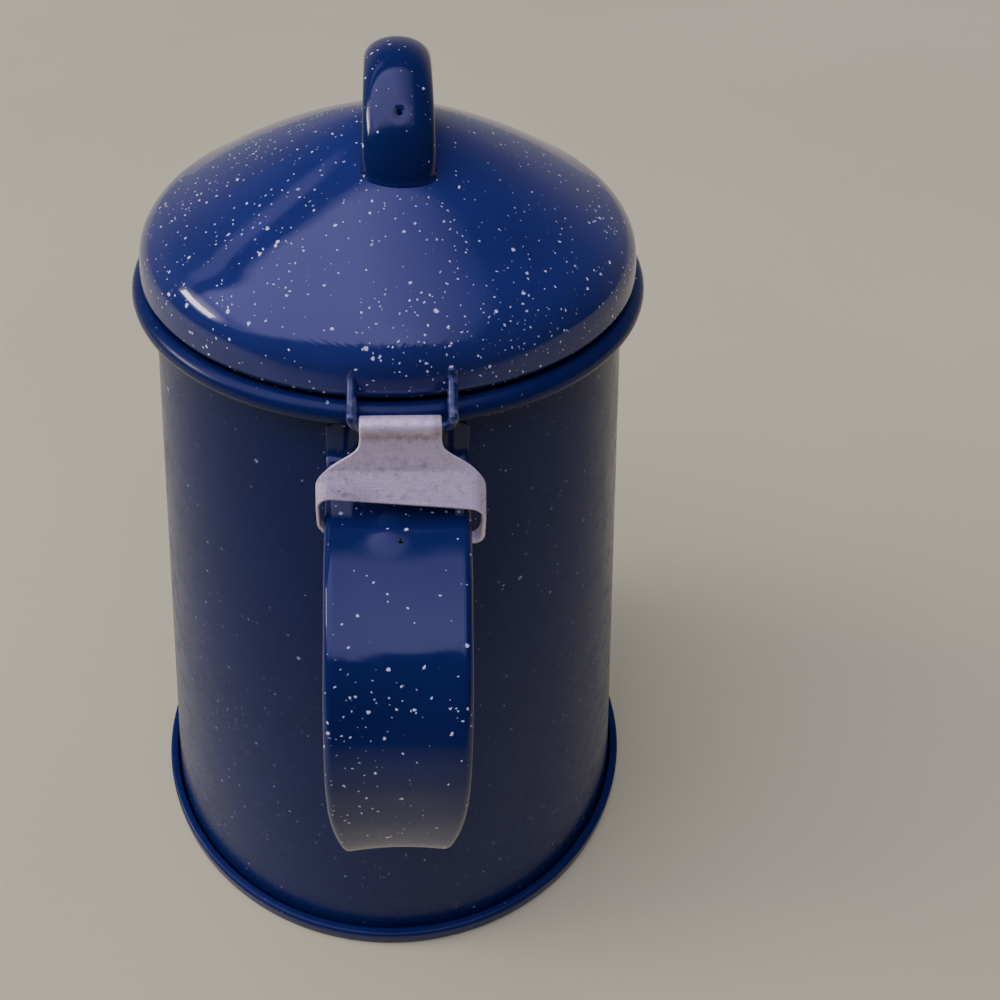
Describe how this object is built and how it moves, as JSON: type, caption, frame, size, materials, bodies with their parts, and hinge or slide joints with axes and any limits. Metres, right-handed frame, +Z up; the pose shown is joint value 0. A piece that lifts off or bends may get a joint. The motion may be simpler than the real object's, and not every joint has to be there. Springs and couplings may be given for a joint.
{
  "type": "enamel coffee pot",
  "caption": "Tapered enamelled steel coffee pot with a hinged domed lid, strap handle, strap knob, beak spout and a bare steel hinge clip.",
  "frame": {"origin": "on the pot's axis, in the plane of the flat bottom that it stands on", "axes": "+Z up along the pot's axis, -Y towards the handle, +Y towards the spout, +X to the right when the handle is seen from in front"},
  "size_m": [0.152, 0.2016, 0.2279],
  "materials": {
    "body_enamel": "gloss",
    "base_enamel": "gloss",
    "spout_enamel": "gloss",
    "handle_enamel": "gloss",
    "clip_steel": "satin",
    "lid_enamel": "gloss",
    "knob_enamel": "gloss",
    "wire_enamel": "gloss"
  },
  "bodies": {
    "pot": {"body_shell": "body_enamel", "base_pan": "base_enamel", "spout": "spout_enamel", "handle_strap": "handle_enamel", "hinge_clip": "clip_steel"},
    "lid": {"lid_shell": "lid_enamel", "lid_knob": "knob_enamel", "hinge_wire": "wire_enamel"}
  },
  "joints": [
    {"name": "lid_hinge", "type": "hinge", "parent": "pot", "child": "lid", "pos_m": [0.002, -0.06, 0.1805], "axis": [1, 0, 0], "range_deg": [0, 170]}
  ]
}
